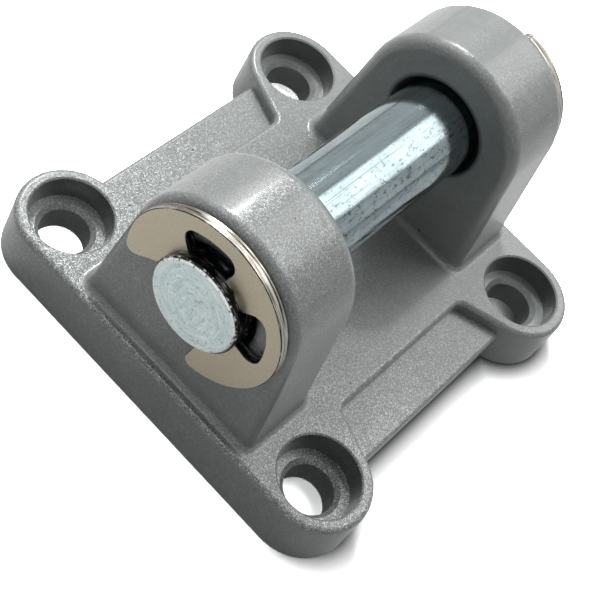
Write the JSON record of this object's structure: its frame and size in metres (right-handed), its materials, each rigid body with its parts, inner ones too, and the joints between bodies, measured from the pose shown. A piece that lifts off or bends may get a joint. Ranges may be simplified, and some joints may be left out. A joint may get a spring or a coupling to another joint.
{
  "type": "rear clevis mount",
  "caption": "Cast fork with a square bolt-on flange and a clevis pin held by retaining clips, for the rear end of a pneumatic cylinder.",
  "frame": {"origin": "centre of the mounting face, in its plane", "axes": "+Z away from the cylinder, from the mounting face to the pin; +X along the pin"},
  "size_m": [0.0772, 0.0748, 0.0477],
  "materials": {
    "casting": "die-cast and blasted",
    "pin_steel": "ground and zinc plated",
    "clip_steel": "stamped spring steel"
  },
  "bodies": {
    "clevis": {"clevis_body": "casting"},
    "clips": {"near_retaining_clip": "clip_steel", "far_retaining_clip": "clip_steel"},
    "pin": {"clevis_pin": "pin_steel"}
  },
  "joints": [
    {"name": "end_float", "type": "slide", "parent": "clevis", "child": "clips", "axis": [1, 0, 0], "range_m": [-0.00015, 0.00015]},
    {"name": "pin_spin", "type": "hinge", "parent": "clips", "child": "pin", "pos_m": [0, 0, 0.032], "axis": [1, 0, 0], "continuous": true}
  ]
}
